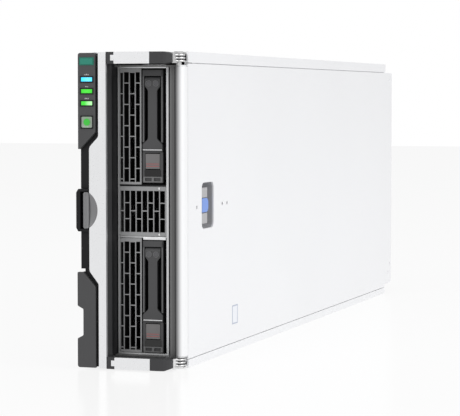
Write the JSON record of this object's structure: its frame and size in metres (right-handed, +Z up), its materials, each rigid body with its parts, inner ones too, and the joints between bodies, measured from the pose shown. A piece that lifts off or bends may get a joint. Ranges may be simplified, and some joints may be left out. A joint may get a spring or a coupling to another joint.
{
  "type": "blade server",
  "caption": "Tall, narrow server module with a hinged front handle, two pull-out drives, brick-pattern grilles, a sliding side panel and rear blind-mate connectors.",
  "frame": {"origin": "middle of the underside of the body, on the surface it stands on", "axes": "+Z up, -Y out of the front face with the drives, +X towards the removable side panel"},
  "size_m": [0.0727, 0.6076, 0.216],
  "materials": {
    "panel_steel": "satin plated sheet",
    "frame_steel": "satin plated sheet",
    "cage_steel": "plated sheet",
    "grille_black": "satin dark paint",
    "bezel_black": "fine grained",
    "bezel_grey": "fine grained",
    "arm_grey": "fine grained",
    "bar_silver": "satin",
    "scoop_grey": "smooth",
    "badge_teal": "smooth",
    "lens_cyan": "clear tinted",
    "lens_green": "clear tinted",
    "button_green": "satin",
    "key_blue": "satin",
    "carrier_grey": "fine grained",
    "button_grey": "satin",
    "drive_metal": "cast",
    "board_green": "solder resist",
    "connector_black": "moulded",
    "socket_cream": "moulded",
    "fin_aluminium": "extruded",
    "lid_nickel": "satin plating",
    "screw_zinc": "zinc plated",
    "standoff_brass": "turned"
  },
  "bodies": {
    "chassis": {"chassis_pan": "panel_steel", "front_frame": "frame_steel", "rear_panel": "cage_steel", "drive_cage": "cage_steel", "upper_grille": "grille_black", "middle_grille": "grille_black", "lower_grille": "grille_black", "bezel_column": "bezel_black", "status_panel": "bezel_grey", "blank_badge": "badge_teal", "identify_lens": "lens_cyan", "health_lens": "lens_green", "network_lens": "lens_green", "lamp_board": "board_green", "latch_housing": "bezel_black", "handle_pins": "screw_zinc", "upper_backplane": "board_green", "lower_backplane": "board_green", "system_board": "board_green", "board_standoffs": "standoff_brass", "board_screws": "screw_zinc", "cpu_sockets": "socket_cream", "processors": "lid_nickel", "front_heat_sink": "fin_aluminium", "rear_heat_sink": "fin_aluminium", "memory_slots": "connector_black", "memory_modules": "board_green", "memory_baffles": "connector_black", "mezzanine_card_1": "board_green", "mezzanine_card_2": "board_green", "mezzanine_card_3": "board_green", "mezzanine_connectors": "connector_black", "midplane_connectors": "connector_black", "power_connector": "connector_black", "guide_sockets": "screw_zinc", "storage_controller": "board_green", "energy_pack": "connector_black", "coin_cell": "lid_nickel"},
    "handle": {"handle_bar": "bar_silver", "handle_core": "arm_grey", "thumb_scoop": "scoop_grey", "upper_arm": "arm_grey", "lower_arm": "arm_grey", "arm_plates": "bar_silver", "handle_cams": "screw_zinc"},
    "release_slider": {"release_slider": "scoop_grey"},
    "power_button": {"power_button": "button_green"},
    "pull_tab": {"pull_tab": "bezel_grey"},
    "side_panel": {"access_panel": "panel_steel", "panel_latch_cup": "panel_steel"},
    "latch_key": {"panel_latch_key": "key_blue"},
    "upper_drive": {"upper_carrier": "carrier_grey", "upper_drive": "drive_metal"},
    "upper_lever": {"upper_lever": "carrier_grey"},
    "upper_lever_button": {"upper_lever_button": "button_grey"},
    "lower_drive": {"lower_carrier": "carrier_grey", "lower_drive": "drive_metal"},
    "lower_lever": {"lower_lever": "carrier_grey"},
    "lower_lever_button": {"lower_lever_button": "button_grey"}
  },
  "joints": [
    {"name": "handle_swing", "type": "hinge", "parent": "chassis", "child": "handle", "pos_m": [0.0302, -0.2831, 0.108], "axis": [0, 0, 1], "range_deg": [0, 75]},
    {"name": "release_slide", "type": "slide", "parent": "chassis", "child": "release_slider", "axis": [-1, 0, 0], "range_m": [0, 0.002], "stiffness_N_per_m": 1200},
    {"name": "power_press", "type": "slide", "parent": "chassis", "child": "power_button", "axis": [0, 1, 0], "range_m": [0, 0.0012], "stiffness_N_per_m": 1500},
    {"name": "tab_pull", "type": "slide", "parent": "chassis", "child": "pull_tab", "axis": [0, -1, 0], "range_m": [0, 0.045]},
    {"name": "panel_slide", "type": "slide", "parent": "chassis", "child": "side_panel", "axis": [0, 1, 0], "range_m": [0, 0.012]},
    {"name": "key_press", "type": "slide", "parent": "side_panel", "child": "latch_key", "axis": [-1, 0, 0], "range_m": [0, 0.002], "stiffness_N_per_m": 1200},
    {"name": "upper_drive_slide", "type": "slide", "parent": "chassis", "child": "upper_drive", "axis": [0, -1, 0], "range_m": [0, 0.11]},
    {"name": "upper_lever_swing", "type": "hinge", "parent": "upper_drive", "child": "upper_lever", "pos_m": [0.0111, -0.2805, 0.1964], "axis": [-1, 0, 0], "range_deg": [0, 40]},
    {"name": "upper_button_press", "type": "slide", "parent": "upper_drive", "child": "upper_lever_button", "axis": [0, 1, 0], "range_m": [0, 0.0011], "stiffness_N_per_m": 1500},
    {"name": "lower_drive_slide", "type": "slide", "parent": "chassis", "child": "lower_drive", "axis": [0, -1, 0], "range_m": [0, 0.11]},
    {"name": "lower_lever_swing", "type": "hinge", "parent": "lower_drive", "child": "lower_lever", "pos_m": [0.0111, -0.2805, 0.0797], "axis": [-1, 0, 0], "range_deg": [0, 40]},
    {"name": "lower_button_press", "type": "slide", "parent": "lower_drive", "child": "lower_lever_button", "axis": [0, 1, 0], "range_m": [0, 0.0011], "stiffness_N_per_m": 1500}
  ]
}
